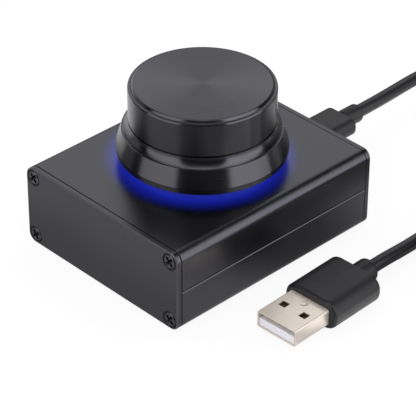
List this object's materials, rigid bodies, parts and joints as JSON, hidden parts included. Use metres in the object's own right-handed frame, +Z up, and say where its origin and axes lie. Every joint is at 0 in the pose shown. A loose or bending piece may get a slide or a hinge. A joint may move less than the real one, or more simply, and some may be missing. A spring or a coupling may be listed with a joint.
{
  "type": "usb volume control knob",
  "caption": "Round black metal knob on a flat metal box: it turns to set the volume and presses to mute. Blue light shines under its skirt; a coiled USB cable plugs in behind.",
  "frame": {"origin": "middle of the box's footprint, on the surface it stands on", "axes": "+Z up along the knob's axis, which stands 1 mm behind the origin; +Y along the extrusion, from the blank front plate to the rear plate with the socket; +X to the right"},
  "size_m": [0.1214, 0.1422, 0.0437],
  "materials": {
    "anodised_case": "black anodised, fine matt",
    "anodised_knob": "black anodised, turned, with a spun top",
    "black_screw": "black oxide",
    "pad_foam": "matt black anti-slip foam",
    "ring_diffuser": "milky acrylic, lit blue from below",
    "lamp_lens": "tinted blue epoxy",
    "plated_steel": "nickel plated",
    "tinned_metal": "tinned",
    "can_aluminium": "bright drawn can",
    "shaft_aluminium": "turned, plain",
    "board_laminate": "green solder mask",
    "black_plastic": "moulded, black",
    "white_plastic": "moulded, white",
    "tan_ceramic": "fired ceramic with tinned ends",
    "plug_nickel": "nickel plated, satin",
    "contact_gold": "gold flash",
    "moulded_grip": "soft black vinyl, fine matt",
    "cord_jacket": "soft black vinyl, satin",
    "black_tie": "woven black strap"
  },
  "bodies": {
    "case": {"upper_shell": "anodised_case", "lower_shell": "anodised_case", "front_end_plate": "anodised_case", "rear_end_plate": "anodised_case", "front_plate_screws": "black_screw", "rear_plate_screws": "black_screw", "anti_slip_pad": "pad_foam", "light_ring": "ring_diffuser", "bush_nut": "plated_steel", "bush_washer": "plated_steel", "encoder_frame": "plated_steel", "encoder_housing": "black_plastic", "encoder_terminals": "tinned_metal", "switch_dome": "plated_steel", "circuit_board": "board_laminate", "controller_chip": "black_plastic", "controller_leads": "tinned_metal", "crystal": "plated_steel", "chip_resistors": "black_plastic", "chip_capacitors": "tan_ceramic", "storage_capacitor": "can_aluminium", "blue_leds": "lamp_lens", "led_leads": "tinned_metal", "socket_shell": "plated_steel", "socket_tongue": "black_plastic"},
    "plunger": {"switch_plunger": "white_plastic"},
    "knob": {"knob": "anodised_knob", "knob_hub": "black_plastic", "encoder_shaft": "shaft_aluminium"},
    "rotor": {"encoder_rotor": "white_plastic"},
    "cable": {"micro_plug_shell": "plug_nickel", "micro_plug_grip": "moulded_grip", "cord_to_case": "cord_jacket", "cord_coil": "cord_jacket", "cord_to_computer": "cord_jacket", "cable_tie": "black_tie", "usb_plug_grip": "moulded_grip", "usb_plug_shell": "plug_nickel", "usb_plug_tongue": "white_plastic", "usb_plug_contacts": "contact_gold"}
  },
  "joints": [
    {"name": "knob_press", "type": "slide", "parent": "case", "child": "plunger", "axis": [0, 0, -1], "range_m": [0, 0.0008], "stiffness_N_per_m": 5000, "springref_m": -0.0004, "deforming": ["switch_dome"]},
    {"name": "knob_turn", "type": "hinge", "parent": "plunger", "child": "knob", "pos_m": [0, 0.001, 0.0309], "axis": [0, 0, 1], "continuous": true},
    {"name": "rotor_turn", "type": "hinge", "parent": "case", "child": "rotor", "pos_m": [0, 0.001, 0.0178], "axis": [0, 0, 1], "continuous": true},
    {"name": "cable_pull", "type": "slide", "parent": "case", "child": "cable", "axis": [0, 1, 0], "range_m": [0, 0.007]}
  ],
  "couplings": [
    {"joint": "rotor_turn", "follows": "knob_turn", "ratio": 1}
  ]
}
